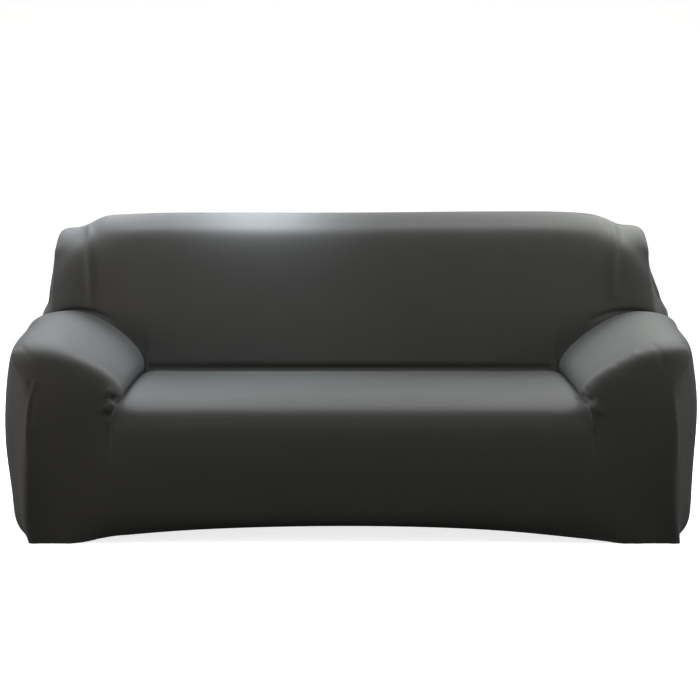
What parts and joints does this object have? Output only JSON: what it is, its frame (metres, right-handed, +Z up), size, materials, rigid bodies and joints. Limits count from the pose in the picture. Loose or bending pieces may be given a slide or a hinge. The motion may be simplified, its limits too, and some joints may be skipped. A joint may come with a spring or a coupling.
{
  "type": "sofa slipcover",
  "caption": "Fitted stretch-knit slipcover in the shape it takes on a three-seat sofa, with rolled arms, a raised back and an elastic hem that is drawn in under the arms.",
  "frame": {"origin": "on the floor, under the middle of the cover's bounding box", "axes": "+X along the sofa, to the right of someone who faces it; +Y to the sofa's back; +Z up"},
  "size_m": [2.1742, 0.9191, 0.9507],
  "materials": {
    "front_seat_panel_knit": "matt fine knit",
    "inside_back_panel_knit": "matt fine knit",
    "outside_back_panel_knit": "matt fine knit",
    "arm_panel_left_knit": "matt fine knit",
    "arm_panel_right_knit": "matt fine knit",
    "side_panel_left_knit": "matt fine knit",
    "side_panel_right_knit": "matt fine knit"
  },
  "bodies": {
    "root": {"front_seat_panel": "front_seat_panel_knit", "inside_back_panel": "inside_back_panel_knit", "outside_back_panel": "outside_back_panel_knit", "arm_panel_left": "arm_panel_left_knit", "arm_panel_right": "arm_panel_right_knit", "side_panel_left": "side_panel_left_knit", "side_panel_right": "side_panel_right_knit"}
  },
  "joints": []
}
